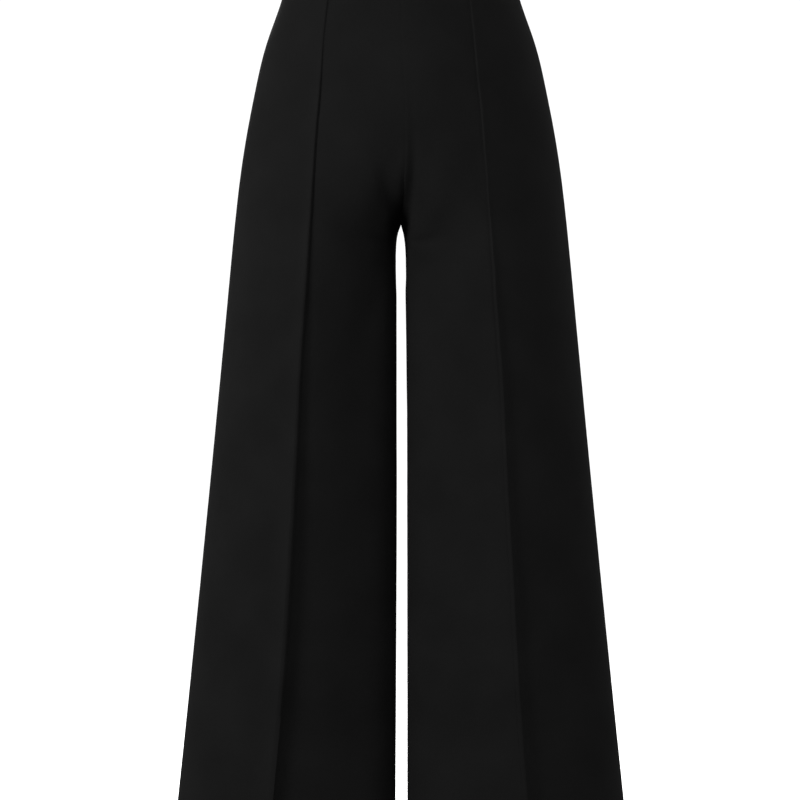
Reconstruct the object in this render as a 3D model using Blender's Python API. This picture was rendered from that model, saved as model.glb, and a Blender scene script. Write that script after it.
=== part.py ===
"""Palazzo pants: high-waisted, wide-legged trousers in heavy black knit, filled out as they are when worn.

Metres, +Z up. The front faces -Y and the wearer's left leg is at +X. The origin is the middle of the
waistband, where the wearer's waist holds the garment up. Heights in the tables are measured from the crotch
point, up positive, and the finished pieces are moved down by CROTCH_BELOW_WAIST.

Each leg is a front and a back panel, sewn at the centre, the inseam and the side. A panel is a grid: its
rows run round the leg and its columns run from waist to hem. A row is two curves that meet on the crease.
"""

import math

import bmesh
import bpy
import numpy as np

# Driving sizes
CROTCH_BELOW_WAIST = 0.2675
WAIST_SEAM = 0.2515
WAISTBAND_TOP = 0.2835
INSEAM_DROP = 0.785
CLOTH = 0.0020
WAISTBAND_CLOTH = 0.0028
WAISTBAND_ROUNDING = 0.0008
HEM_DEPTH = 0.030
HEM_CLOTH = 0.0034
SEAM_GAP = 0.0003

# The crotch seam is a quarter ellipse from the centre seam down and under to the crotch point. The rows that
# start on it meet the side between these heights, and dip to it by less and less down to LEVEL_AGAIN.
CROTCH_CURVE_TOP = 0.105
CROTCH_Y = -0.002
CROTCH_ROW = -0.018
LEVEL_AGAIN = -0.080
CROTCH_V_ANGLE = math.radians(65)
CREASE_DIP = 0.2

# The slit between the legs opens fast over the first centimetres, then slowly.
SLIT_FAST_OPENING, SLIT_FAST_DROP = 0.0054, 0.012
SLIT_SLOW_OPENING, SLIT_SLOW_DROP = 0.0017, 0.150

# The stitched crease on each front, and the soft pressed fold that it sits on
TUCK_HEIGHT = 0.0026
TUCK_HALF_WIDTH = 0.0016
PRESSED_WIDTH = 0.012

# Heights of the rows at the side seam, the same for all four panels
HEM_TOP = -(INSEAM_DROP - HEM_DEPTH)
HEM_STEP = 0.002
ROW_HEIGHTS = [
    WAIST_SEAM, 0.236, 0.214, 0.190, 0.164, 0.136, CROTCH_CURVE_TOP, 0.080, 0.056, 0.034, 0.014, -0.003,
    CROTCH_ROW, -0.036, -0.056, LEVEL_AGAIN, -0.130, -0.200, -0.290, -0.390, -0.500, -0.620,
    HEM_TOP + HEM_STEP, HEM_TOP, -INSEAM_DROP,
]
# Columns near the crease, by distance from it, and the rest, by share of what is left of the row
NEAR_CREASE = (TUCK_HALF_WIDTH, 0.006, 0.014, 0.026)
REST_SHARES = (0.22, 0.44, 0.64, 0.80, 0.92, 1.0)
FINE_POINTS = 48
WAISTBAND_COLUMNS = 15

# Side seam: how far out from the centre it lies, and how far back
SIDE = [
    # height, out, back
    (0.2835, 0.1235, 0.004),
    (0.2515, 0.1300, 0.004),
    (0.200, 0.1475, 0.005),
    (0.150, 0.1598, 0.006),
    (0.100, 0.1695, 0.006),
    (0.050, 0.1771, 0.006),
    (0.000, 0.1828, 0.006),
    (-0.080, 0.1905, 0.005),
    (-0.300, 0.2115, 0.003),
    (-0.540, 0.2356, 0.001),
    (-0.785, 0.2615, 0.000),
]

# The centre seam above the crotch curve: how far it stands from the side-to-side line, front and back
CENTRE = [
    # height, front, back
    (0.2835, 0.0930, 0.0930),
    (0.2515, 0.0970, 0.0980),
    (0.200, 0.1055, 0.1095),
    (0.150, 0.1108, 0.1220),
    (0.120, 0.1120, 0.1285),
    (0.105, 0.1120, 0.1295),
]

# Inseam: how far back it lies
INSEAM = [
    # height, back
    (0.000, CROTCH_Y),
    (-0.080, 0.000),
    (-0.300, 0.002),
    (-0.785, 0.003),
]

# The crease lines, front and back. The turns are the row's slope away from straight across, in degrees, just
# inside and just outside the crease: equal where the cloth is smooth, apart where it is folded. Pressed is
# how far the fold stands out.
FRONT_CREASE = [
    # height, out, forward, turn_in, turn_out, pressed
    (0.2835, 0.0730, 0.0745, 28, 28, 0.0000),
    (0.2515, 0.0765, 0.0785, 28, 28, 0.0000),
    (0.200, 0.0820, 0.0880, 27, 27, 0.0000),
    (0.150, 0.0865, 0.0933, 25, 25, 0.0004),
    (0.100, 0.0905, 0.0955, 22, 24, 0.0008),
    (0.050, 0.0937, 0.0968, 13, 22, 0.0014),
    (0.000, 0.0968, 0.0980, 3, 20, 0.0020),
    (-0.080, 0.1020, 0.0985, -5, 17, 0.0030),
    (-0.300, 0.1160, 0.0970, -10, 15, 0.0045),
    (-0.540, 0.1292, 0.0955, -12, 14, 0.0052),
    (-0.785, 0.1424, 0.0950, -13, 14, 0.0055),
]
BACK_CREASE = [
    # height, out, back, turn_in, turn_out, pressed
    (0.2835, 0.0600, 0.0830, 22, 22, 0.0000),
    (0.2515, 0.0640, 0.0862, 22, 22, 0.0000),
    (0.200, 0.0720, 0.0965, 21, 21, 0.0000),
    (0.150, 0.0790, 0.1075, 22, 22, 0.0000),
    (0.100, 0.0845, 0.1145, 21, 23, 0.0000),
    (0.050, 0.0895, 0.1165, 12, 23, 0.0000),
    (0.000, 0.0935, 0.1150, 2, 20, 0.0004),
    (-0.080, 0.0990, 0.1100, -6, 17, 0.0010),
    (-0.300, 0.1120, 0.1010, -9, 14, 0.0016),
    (-0.540, 0.1250, 0.0960, -9, 13, 0.0020),
    (-0.785, 0.1380, 0.0940, -10, 13, 0.0022),
]

# Soft folds. Each runs from one point to another on its panel: along is the distance from the crease, inwards
# negative. Depth is outwards positive, and dies away towards both ends and within FOLD_EDGE of a seam.
FOLD_EDGE = 0.020
FOLDS = [
    # panel, along_a, height_a, along_b, height_b, width, depth
    ("right_front", -0.062, -0.150, -0.118, 0.030, 0.016, -0.0022),
    ("right_front", -0.100, 0.070, -0.090, 0.020, 0.012, 0.0010),
    ("left_front", -0.088, 0.074, -0.110, 0.010, 0.012, -0.0014),
    ("right_front", 0.070, -0.060, 0.082, -0.700, 0.040, -0.0016),
    ("left_front", 0.075, -0.160, 0.088, -0.760, 0.042, -0.0018),
    ("left_front", -0.070, -0.330, -0.082, -0.770, 0.040, -0.0014),
    ("right_back", 0.070, -0.010, 0.092, -0.740, 0.036, -0.0040),
    ("right_back", -0.062, -0.060, -0.078, -0.600, 0.034, -0.0032),
    ("right_back", -0.085, 0.060, -0.020, -0.030, 0.018, -0.0022),
    ("left_back", 0.082, 0.010, 0.080, -0.620, 0.036, -0.0036),
    ("left_back", -0.058, -0.100, -0.084, -0.760, 0.036, -0.0034),
    ("left_back", -0.090, 0.050, -0.034, -0.046, 0.018, -0.0020),
]

CLOTH_COLOUR = (0.0075, 0.0075, 0.0080)
CLOTH_ROUGHNESS = 0.82
SHARP_ANGLE = math.radians(35)


def smooth_table(rows, column):
    """A function of height through one column of a table: a natural cubic spline."""
    ordered = sorted(rows)
    at = np.array([row[0] for row in ordered])
    value = np.array([row[column] for row in ordered], float)
    step = np.diff(at)
    slope = np.diff(value) / step
    count = len(at)
    matrix = np.eye(count)
    right = np.zeros(count)
    for i in range(1, count - 1):
        matrix[i, i - 1 : i + 2] = step[i - 1], 2 * (step[i - 1] + step[i]), step[i]
        right[i] = 6 * (slope[i] - slope[i - 1])
    bend = np.linalg.solve(matrix, right)

    def read(height):
        i = int(np.clip(np.searchsorted(at, height) - 1, 0, count - 2))
        a, b = at[i + 1] - height, height - at[i]
        return (
            (bend[i] * a**3 + bend[i + 1] * b**3) / (6 * step[i])
            + (value[i] / step[i] - bend[i] * step[i] / 6) * a
            + (value[i + 1] / step[i] - bend[i + 1] * step[i] / 6) * b
        )

    return read


side_out, side_back = smooth_table(SIDE, 1), smooth_table(SIDE, 2)
inseam_back = smooth_table(INSEAM, 1)
centre_reach = {"front": smooth_table(CENTRE, 1), "back": smooth_table(CENTRE, 2)}
crease = {
    face: [smooth_table(rows, column) for column in range(1, 6)]
    for face, rows in (("front", FRONT_CREASE), ("back", BACK_CREASE))
}
TOWARDS = {"front": -1.0, "back": 1.0}


def unit(vector):
    return vector / np.linalg.norm(vector)


def inseam_out(below):
    """How far the inseam stands from the middle, by depth below the crotch."""
    fast = SLIT_FAST_OPENING * (1 - math.exp(-below / SLIT_FAST_DROP))
    return fast + SLIT_SLOW_OPENING * (1 - math.exp(-below / SLIT_SLOW_DROP))


def crotch_point(face, height):
    """A point on the crotch curve, and the direction in which its row leaves the seam."""
    way = TOWARDS[face]
    reach = centre_reach[face](CROTCH_CURVE_TOP) - way * CROTCH_Y
    turn = math.pi / 2 * (height - CROTCH_ROW) / (CROTCH_CURVE_TOP - CROTCH_ROW)
    along, up = math.sin(turn), math.cos(turn)
    point = np.array([0.0, CROTCH_Y + way * reach * along, CROTCH_CURVE_TOP * (1 - up)])
    outwards = unit(np.array([0.0, way * along / reach, -up / CROTCH_CURVE_TOP]))
    upwards = unit(np.array([0.0, way * reach * up, CROTCH_CURVE_TOP * along]))
    v_angle = CROTCH_V_ANGLE * (1 - along)
    across = np.array([math.cos(v_angle), 0.0, 0.0])
    return point, unit(across + math.sin(v_angle) * outwards + up * upwards)


def inner_edge(face, height):
    """Where a row starts, on the centre seam, the crotch curve or the inseam, and its direction there."""
    straight = np.array([0.0, TOWARDS[face], 0.0])
    if height >= CROTCH_CURVE_TOP:
        return np.array([0.0, TOWARDS[face] * centre_reach[face](height), height]), np.array([1.0, 0.0, 0.0])
    if height >= CROTCH_ROW:
        return crotch_point(face, height)
    if height < LEVEL_AGAIN:
        return np.array([inseam_out(-height), inseam_back(height), height]), straight
    share = (CROTCH_ROW - height) / (CROTCH_ROW - LEVEL_AGAIN)
    drop = LEVEL_AGAIN * share
    ease = share * share * (3 - 2 * share)
    direction = unit((1 - ease) * crotch_point(face, CROTCH_ROW)[1] + ease * straight)
    return np.array([inseam_out(-drop), inseam_back(drop), drop]), direction


def bezier(start, start_way, end, end_way):
    """Points on a cubic that leaves start along start_way and reaches end along end_way, round as an arc."""
    chord = np.linalg.norm(end - start)
    turn = math.acos(max(-1.0, min(1.0, float(start_way @ end_way))))
    handle = chord / (3 * math.cos(turn / 4) ** 2)
    t = np.linspace(0, 1, FINE_POINTS)[:, None]
    p1, p2 = start + handle * start_way, end - handle * end_way
    return (1 - t) ** 3 * start + 3 * (1 - t) ** 2 * t * p1 + 3 * (1 - t) * t**2 * p2 + t**3 * end


def row_curve(face, height):
    """A row's fine points, and each one's distance from the crease along the row, inwards negative."""
    way = TOWARDS[face]
    out, reach, turn_in, turn_out, _ = (column(height) for column in crease[face])
    start, start_way = inner_edge(face, height)
    fold = np.array([out, way * reach, height + CREASE_DIP * (start[2] - height)])
    side = np.array([side_out(height), side_back(height), height])
    turns = [math.radians(turn) for turn in (turn_in, turn_out)]
    arriving, leaving = (np.array([math.cos(turn), -way * math.sin(turn), 0.0]) for turn in turns)
    inner = bezier(start, start_way, fold, arriving)
    outer = bezier(fold, leaving, side, np.array([0.0, -way, 0.0]))
    points = np.vstack([inner, outer[1:]])
    along = np.concatenate([[0], np.cumsum(np.linalg.norm(np.diff(points, axis=0), axis=1))])
    return points, along - along[len(inner) - 1]


def read_along(points, along, places):
    """Points at the given distances along a row."""
    return np.stack([np.interp(places, along, points[:, axis]) for axis in range(3)], axis=1)


def column_places(along):
    """Distances from the crease at which a row is cut into columns, from the inner edge to the side."""
    near = np.array(NEAR_CREASE)
    shares = np.array(REST_SHARES)
    inner = near[-1] + (-along[0] - near[-1]) * shares
    outer = near[-1] + (along[-1] - near[-1]) * shares
    return np.concatenate([-inner[::-1], -near[::-1], [0.0], near, outer])


def fold_depth(panel, along, height):
    """How far the soft folds move this point outwards."""
    total = 0.0
    for name, along_a, height_a, along_b, height_b, width, depth in FOLDS:
        if name != panel:
            continue
        run = np.array([along_b - along_a, height_b - height_a])
        length = float(np.linalg.norm(run))
        offset = np.array([along - along_a, height - height_a])
        share = float(offset @ run) / length**2
        beside = float(offset[0] * run[1] - offset[1] * run[0]) / length
        fade = math.cos(math.pi / 2 * min(1.0, abs(2 * share - 1)))
        total += depth * fade * math.exp(-((beside / width) ** 2))
    return total


def row_points(face, panel, height):
    """One row of the cloth with its pressed and soft folds, and each point's distance from the crease."""
    fine, along = row_curve(face, height)
    places = column_places(along)
    points = read_along(fine, along, places)
    tangent = np.gradient(points, axis=0)
    outwards = np.stack([tangent[:, 1], -tangent[:, 0]], axis=1) * -TOWARDS[face]
    outwards /= np.linalg.norm(outwards, axis=1)[:, None]
    pressed = max(0.0, crease[face][4](height))
    from_seam = np.minimum(places - places[0], places[-1] - places)
    for i, place in enumerate(places):
        raised = pressed * math.exp(-abs(place) / PRESSED_WIDTH)
        raised += fold_depth(panel, place, points[i, 2]) * min(1.0, from_seam[i] / FOLD_EDGE)
        points[i, :2] += raised * outwards[i]
    return points, places


def seam_normals(rows, normals, face):
    """Turns the edge normals into the seams' own planes, lengthened so that the wall keeps its thickness."""
    least = math.cos(CROTCH_V_ANGLE)
    last = len(rows) - 1
    for i, height in enumerate(ROW_HEIGHTS):
        above, below = rows[max(i - 1, 0)], rows[min(i + 1, last)]
        seam, side = below[0] - above[0], below[-1] - above[-1]
        if height > CROTCH_ROW:
            plane = unit(np.array([0.0, TOWARDS[face] * -seam[2], TOWARDS[face] * seam[1]]))
        elif height == CROTCH_ROW:
            plane = np.array([0.0, 0.0, -1.0])
        else:
            plane = unit(np.array([seam[2], 0.0, -seam[0]]))
        normals[i, 0] = plane / max(least, float(plane @ normals[i, 0]))
        normals[i, -1] = unit(np.array([-side[2], 0.0, side[0]]))
    for i in (0, last):
        level = normals[i] * np.array([1.0, 1.0, 0.0])
        normals[i] = level / np.linalg.norm(level, axis=1)[:, None]
    return normals


def panel_grids(face, panel):
    """The outer and the inner points of one panel, as rows by columns, for the leg at +X."""
    step = 0.001
    rows, places = (np.array(part) for part in zip(*(row_points(face, panel, h) for h in ROW_HEIGHTS)))
    normals = np.empty_like(rows)
    for i, height in enumerate(ROW_HEIGHTS):
        above, below = (row_points(face, panel, height + way * step)[0] for way in (1, -1))
        cross = np.cross(np.gradient(rows[i], axis=0), below - above) * TOWARDS[face]
        normals[i] = cross / np.linalg.norm(cross, axis=1)[:, None]
    normals = seam_normals(rows, normals, face)
    heights = np.array(ROW_HEIGHTS)
    rows[heights >= CROTCH_ROW, 0, 0] = SEAM_GAP / 2
    rows[heights <= CROTCH_ROW, 0, 1] += TOWARDS[face] * SEAM_GAP / 2
    rows[:, -1, 1] += TOWARDS[face] * SEAM_GAP / 2
    rows[0, :, 2] -= SEAM_GAP / 2
    thickness = np.where(heights <= HEM_TOP, HEM_CLOTH, CLOTH)[:, None, None]
    inner = rows - normals * thickness
    outer = rows.copy()
    if face == "front":
        outer += normals * (TUCK_HEIGHT * np.clip(1 - np.abs(places) / TUCK_HALF_WIDTH, 0, 1))[:, :, None]
    return outer, inner


def closed_wall(name, outer, inner, mirrored=False, ring=False):
    """One solid from two grids of points: an outer face, an inner face and the edges between them."""
    mesh = bmesh.new()
    rows, columns = outer.shape[:2]
    flip = np.array([-1.0 if mirrored else 1.0, 1.0, 1.0])
    lift = np.array([0.0, 0.0, -CROTCH_BELOW_WAIST])
    sides = [
        [[mesh.verts.new(point * flip + lift) for point in row] for row in grid]
        for grid in (outer, inner)
    ]
    across = [(j, (j + 1) % columns) for j in range(columns if ring else columns - 1)]
    for i in range(rows - 1):
        for j, k in across:
            mesh.faces.new([sides[0][i][j], sides[0][i + 1][j], sides[0][i + 1][k], sides[0][i][k]])
            mesh.faces.new([sides[1][i][k], sides[1][i + 1][k], sides[1][i + 1][j], sides[1][i][j]])
    for i in (0, rows - 1):
        for j, k in across:
            mesh.faces.new([sides[0][i][j], sides[0][i][k], sides[1][i][k], sides[1][i][j]])
    for j in () if ring else (0, columns - 1):
        for i in range(rows - 1):
            mesh.faces.new([sides[0][i][j], sides[1][i][j], sides[1][i + 1][j], sides[0][i + 1][j]])
    bmesh.ops.recalc_face_normals(mesh, faces=mesh.faces)
    data = bpy.data.meshes.new(name)
    mesh.to_mesh(data)
    mesh.free()
    data.shade_smooth()
    data.set_sharp_from_angle(angle=SHARP_ANGLE)
    built = bpy.data.objects.new(name, data)
    bpy.context.scene.collection.objects.link(built)
    return built


def waistband_ring(height, drawn_in):
    """The waistband's outline at one height, as points once round, drawn in by a distance."""
    front, back = (
        read_along(fine, along, np.linspace(along[0], along[-1], WAISTBAND_COLUMNS))
        for fine, along in (row_curve(face, height) for face in ("front", "back"))
    )
    mirror = np.array([-1.0, 1.0, 1.0])
    ring = np.vstack([front[:-1], back[:0:-1], back[:-1] * mirror, front[:0:-1] * mirror])
    tangent = np.roll(ring, -1, axis=0) - np.roll(ring, 1, axis=0)
    outwards = np.stack([tangent[:, 1], -tangent[:, 0], np.zeros(len(ring))], axis=1)
    outwards /= np.linalg.norm(outwards, axis=1)[:, None]
    return ring - outwards * drawn_in


def build_waistband():
    """A plain loop of doubled cloth that stands on the panels' top edges, rounded over at its top."""
    edge = WAISTBAND_ROUNDING
    levels = [
        # height, how far the edge is rounded off
        (WAIST_SEAM + SEAM_GAP / 2, 0.0),
        (CROTCH_BELOW_WAIST, 0.0),
        (WAISTBAND_TOP - edge, 0.0),
        (WAISTBAND_TOP, edge),
    ]
    outer = np.array([waistband_ring(height, rounded) for height, rounded in levels])
    inner = np.array([waistband_ring(height, WAISTBAND_CLOTH - rounded) for height, rounded in levels])
    return closed_wall("waistband", outer, inner, ring=True)


def build_panel(leg, face):
    name = f"{leg}_{face}"
    outer, inner = panel_grids(face, name)
    return closed_wall(name, outer, inner, mirrored=leg == "right")


def cloth_material():
    """Dense black double knit, matt."""
    material = bpy.data.materials.new("black_double_knit")
    material.use_nodes = True
    surface = material.node_tree.nodes["Principled BSDF"]
    surface.inputs["Base Color"].default_value = (*CLOTH_COLOUR, 1.0)
    surface.inputs["Roughness"].default_value = CLOTH_ROUGHNESS
    surface.inputs["Metallic"].default_value = 0.0
    return material


def main():
    for old in list(bpy.data.objects):
        bpy.data.objects.remove(old, do_unlink=True)
    pieces = [build_waistband()]
    for leg in ("right", "left"):
        for face in ("front", "back"):
            pieces.append(build_panel(leg, face))
    material = cloth_material()
    for piece in pieces:
        piece.data.materials.append(material)


main()
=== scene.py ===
"""Palazzo pants in black double knit, high-waisted and wide-legged, as worn. Blender 4.5, metres."""

import math
from types import SimpleNamespace

import bmesh
import bpy
import numpy as np
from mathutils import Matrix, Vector, noise


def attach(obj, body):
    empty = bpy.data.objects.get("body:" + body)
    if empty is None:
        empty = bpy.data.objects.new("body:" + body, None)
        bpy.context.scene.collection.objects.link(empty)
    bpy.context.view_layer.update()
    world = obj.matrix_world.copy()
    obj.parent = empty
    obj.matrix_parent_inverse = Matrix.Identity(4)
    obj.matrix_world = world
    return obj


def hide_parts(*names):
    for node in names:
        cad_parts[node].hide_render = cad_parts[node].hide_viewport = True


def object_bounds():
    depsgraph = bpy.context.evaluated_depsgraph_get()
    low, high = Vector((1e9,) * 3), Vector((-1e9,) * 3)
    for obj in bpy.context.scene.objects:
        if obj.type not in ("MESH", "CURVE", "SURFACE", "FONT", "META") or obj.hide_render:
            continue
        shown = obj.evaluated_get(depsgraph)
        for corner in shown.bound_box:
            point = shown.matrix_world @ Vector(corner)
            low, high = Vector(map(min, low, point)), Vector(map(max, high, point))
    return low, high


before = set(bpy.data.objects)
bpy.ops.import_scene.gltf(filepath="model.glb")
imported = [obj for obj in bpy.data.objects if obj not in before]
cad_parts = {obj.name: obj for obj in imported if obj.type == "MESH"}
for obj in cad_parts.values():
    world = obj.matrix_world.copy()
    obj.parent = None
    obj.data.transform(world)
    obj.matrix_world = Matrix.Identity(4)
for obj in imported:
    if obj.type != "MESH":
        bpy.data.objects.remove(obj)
cad_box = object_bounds()


# Front legs: two panels of heavy black double knit, each cut in one from waist to hem. A tuck is sewn down
# the pressed crease of each, and the hem is turned up inside. Heights are from the crotch point, up positive,
# and distances along a row are from the crease, towards the inseam negative.
MM = 0.001
CROTCH_BELOW_WAIST = 0.2675
WAIST_SEAM = 0.2515
WAISTBAND_TOP = 0.2835
BAND_INSIDE_DROP = 6 * MM
INSEAM_DROP = 0.785
CLOTH_THICK = 1.2 * MM
SEAM_GAP = 0.04 * MM

# The crotch seam is a quarter ellipse. The rows that meet it, down to CROTCH_ROW at the side, end above or
# below their own height there. The crease takes CREASE_DIP of that, and rows are level from LEVEL_AGAIN down.
CROTCH_CURVE_TOP = 0.105
CROTCH_Y = -0.002
CROTCH_ROW = -0.018
LEVEL_AGAIN = -0.080
CROTCH_V_ANGLE = math.radians(65)
CREASE_DIP = 0.2
SLIT_FAST_OPENING, SLIT_FAST_DROP = 0.0054, 0.012
SLIT_SLOW_OPENING, SLIT_SLOW_DROP = 0.0017, 0.150

SIDE = [
    # height, out, back
    (0.2835, 0.1235, 0.004),
    (0.2515, 0.1300, 0.004),
    (0.200, 0.1475, 0.005),
    (0.150, 0.1598, 0.006),
    (0.100, 0.1695, 0.006),
    (0.050, 0.1771, 0.006),
    (0.000, 0.1828, 0.006),
    (-0.080, 0.1905, 0.005),
    (-0.300, 0.2115, 0.003),
    (-0.540, 0.2356, 0.001),
    (-0.785, 0.2615, 0.000),
]
CENTRE = [
    # height, front, back
    (0.2835, 0.0930, 0.0930),
    (0.2515, 0.0970, 0.0980),
    (0.200, 0.1055, 0.1095),
    (0.150, 0.1108, 0.1220),
    (0.120, 0.1120, 0.1285),
    (0.105, 0.1120, 0.1295),
]
INSEAM = [
    # height, back
    (0.000, CROTCH_Y),
    (-0.080, 0.000),
    (-0.300, 0.002),
    (-0.785, 0.003),
]
FRONT_CREASE = [
    # height, out, forward, turn_in, turn_out (degrees)
    (0.2835, 0.0730, 0.0745, 28, 28),
    (0.2515, 0.0765, 0.0785, 28, 28),
    (0.200, 0.0820, 0.0880, 27, 27),
    (0.150, 0.0865, 0.0933, 25, 25),
    (0.100, 0.0905, 0.0955, 22, 24),
    (0.050, 0.0937, 0.0968, 13, 22),
    (0.000, 0.0968, 0.0980, 3, 20),
    (-0.080, 0.1020, 0.0985, -5, 17),
    (-0.300, 0.1160, 0.0970, -10, 15),
    (-0.540, 0.1292, 0.0955, -12, 14),
    (-0.785, 0.1424, 0.0950, -13, 14),
]
# The crease is pressed in more firmly from the hip down, and both creases lean over to the wearer's left: the
# flank on that side is steep and the other one gentle.
FRONT_FOLD = [
    # height, then rise, steep flank and gentle flank in mm, on the right leg and on the left leg
    (0.2515, 0.0, 4.0, 6.0, 0.0, 4.0, 8.0),
    (0.150, 0.3, 4.0, 6.0, 0.0, 4.0, 8.0),
    (0.095, 1.0, 4.5, 6.0, 0.1, 4.0, 8.0),
    (0.050, 1.3, 4.5, 7.0, 0.2, 4.0, 12.0),
    (-0.040, 2.0, 5.0, 9.0, 1.4, 4.5, 20.0),
    (-0.105, 2.9, 6.0, 12.0, 2.6, 6.5, 26.0),
    (-0.170, 4.2, 7.5, 16.0, 3.8, 9.0, 30.0),
    (-0.248, 5.4, 9.0, 18.0, 4.8, 9.5, 32.0),
    (-0.325, 7.4, 12.5, 20.0, 5.8, 10.0, 32.0),
    (-0.412, 8.0, 13.0, 20.0, 6.4, 11.5, 32.0),
    (-0.500, 7.8, 12.0, 20.0, 6.6, 12.5, 30.0),
    (-0.588, 7.4, 12.0, 20.0, 7.2, 15.0, 30.0),
    (-0.785, 7.0, 11.5, 20.0, 7.2, 15.0, 30.0),
]
# Hand pressing leaves the crease a few millimetres off its straight line, and the tuck uneven in height.
FRONT_WAVER = [
    # height, shift outwards in mm on the right leg and on the left leg, share of the tuck's height on each
    (0.2515, 0.0, -4.2, 0.80, 0.30),
    (0.1815, -0.5, -3.9, 0.75, 0.55),
    (0.1375, -2.0, -3.6, 1.10, 0.60),
    (0.0825, -1.2, -2.9, 1.20, 0.60),
    (0.0495, -0.8, -2.4, 1.25, 0.30),
    (0.0050, -0.6, -1.8, 1.30, 0.45),
    (-0.0385, -0.4, -1.5, 1.25, 0.70),
    (-0.1045, -0.2, -1.2, 1.20, 0.80),
    (-0.1705, -0.3, -1.2, 1.00, 0.65),
    (-0.2475, -1.4, -2.4, 0.90, 0.35),
    (-0.3245, -2.0, -2.8, 0.90, 0.35),
    (-0.4125, -2.2, -2.8, 1.00, 0.30),
    (-0.5005, -0.2, -2.6, 1.10, 0.30),
    (-0.5885, 4.0, -1.2, 1.10, 0.20),
    (-0.7850, 3.0, 0.5, 1.10, 0.30),
]
# The centre front seam is pulled a little over to the wearer's left above the crotch.
CENTRE_WAVER = [
    # height, shift (mm)
    (0.2515, 0.0),
    (0.190, 0.8),
    (0.140, 3.2),
    (0.095, 4.4),
    (0.055, 3.8),
    (0.020, 1.6),
    (0.000, 0.2),
    (-0.030, 0.0),
    (-0.785, 0.0),
]
CENTRE_WAVER_REACH = 30 * MM
# The worn cloth hangs straight down from the belly into each leg and bridges the hollow beside the crotch.
CROTCH_BRIDGE = {"right_front": 12 * MM, "left_front": 16 * MM}
BRIDGE_EASE = 30 * MM
BRIDGE_SPREAD = [
    # axis, middle, reach
    (0, 16 * MM, 36 * MM),
    (2, -28 * MM, 24 * MM),
]
# Worn cloth stands fuller than its smooth form beside the inseam and turns in to it sharply.
FRONT_FULLNESS = [
    # height, right leg, left leg (mm)
    (0.2515, 0.0, 0.0),
    (0.140, 0.0, 0.0),
    (0.100, 0.8, 0.8),
    (0.060, 2.8, 3.2),
    (0.015, 4.8, 5.8),
    (-0.030, 6.2, 7.4),
    (-0.100, 6.8, 8.2),
    (-0.300, 6.5, 8.0),
    (-0.785, 4.5, 5.0),
]
FULLEST_AT, FULLNESS_REACH = 44 * MM, 27 * MM


def smooth_table(rows, column):
    """A function of height through one column of a table: a natural cubic spline."""
    ordered = sorted(rows)
    at = np.array([row[0] for row in ordered])
    value = np.array([row[column] for row in ordered], float)
    step = np.diff(at)
    slope = np.diff(value) / step
    matrix = np.eye(len(at))
    right = np.zeros(len(at))
    for i in range(1, len(at) - 1):
        matrix[i, i - 1 : i + 2] = step[i - 1], 2 * (step[i - 1] + step[i]), step[i]
        right[i] = 6 * (slope[i] - slope[i - 1])
    bend = np.linalg.solve(matrix, right)

    def read(height):
        i = np.clip(np.searchsorted(at, height) - 1, 0, len(at) - 2)
        a, b = at[i + 1] - height, height - at[i]
        return (
            (bend[i] * a**3 + bend[i + 1] * b**3) / (6 * step[i])
            + (value[i] / step[i] - bend[i] * step[i] / 6) * a
            + (value[i + 1] / step[i] - bend[i + 1] * step[i] / 6) * b
        )

    return read


side_out, side_back = smooth_table(SIDE, 1), smooth_table(SIDE, 2)
inseam_back = smooth_table(INSEAM, 1)


def cut_of(way, centre_column, crease_rows):
    """One panel's cut: way is -1 for the front and 1 for the back."""
    out, reach, turn_in, turn_out = (smooth_table(crease_rows, column) for column in range(1, 5))
    centre = smooth_table(CENTRE, centre_column)
    return SimpleNamespace(way=way, centre=centre, out=out, reach=reach, turn_in=turn_in, turn_out=turn_out)


def unit(vectors):
    return vectors / np.linalg.norm(vectors, axis=-1, keepdims=True)


def eased(share):
    """From 0 to 1, level at both ends."""
    share = np.clip(share, 0, 1)
    return share * share * (3 - 2 * share)


def inseam_out(below):
    """How far the inseam stands from the middle, by depth below the crotch."""
    fast = SLIT_FAST_OPENING * (1 - math.exp(-below / SLIT_FAST_DROP))
    return fast + SLIT_SLOW_OPENING * (1 - math.exp(-below / SLIT_SLOW_DROP))


def crotch_point(cut, height):
    """A point on the crotch seam, its row's direction there, and the way out of the cloth in its plane."""
    reach = cut.centre(CROTCH_CURVE_TOP) - cut.way * CROTCH_Y
    turn = math.pi / 2 * (height - CROTCH_ROW) / (CROTCH_CURVE_TOP - CROTCH_ROW)
    along, up = math.sin(turn), math.cos(turn)
    point = np.array([0.0, CROTCH_Y + cut.way * reach * along, CROTCH_CURVE_TOP * (1 - up)])
    outwards = unit(np.array([0.0, cut.way * along / reach, -up / CROTCH_CURVE_TOP]))
    upwards = unit(np.array([0.0, cut.way * reach * up, CROTCH_CURVE_TOP * along]))
    v_angle = CROTCH_V_ANGLE * (1 - along)
    across = np.array([math.cos(v_angle), 0.0, 0.0])
    return point, unit(across + math.sin(v_angle) * outwards + up * upwards), outwards


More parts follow.
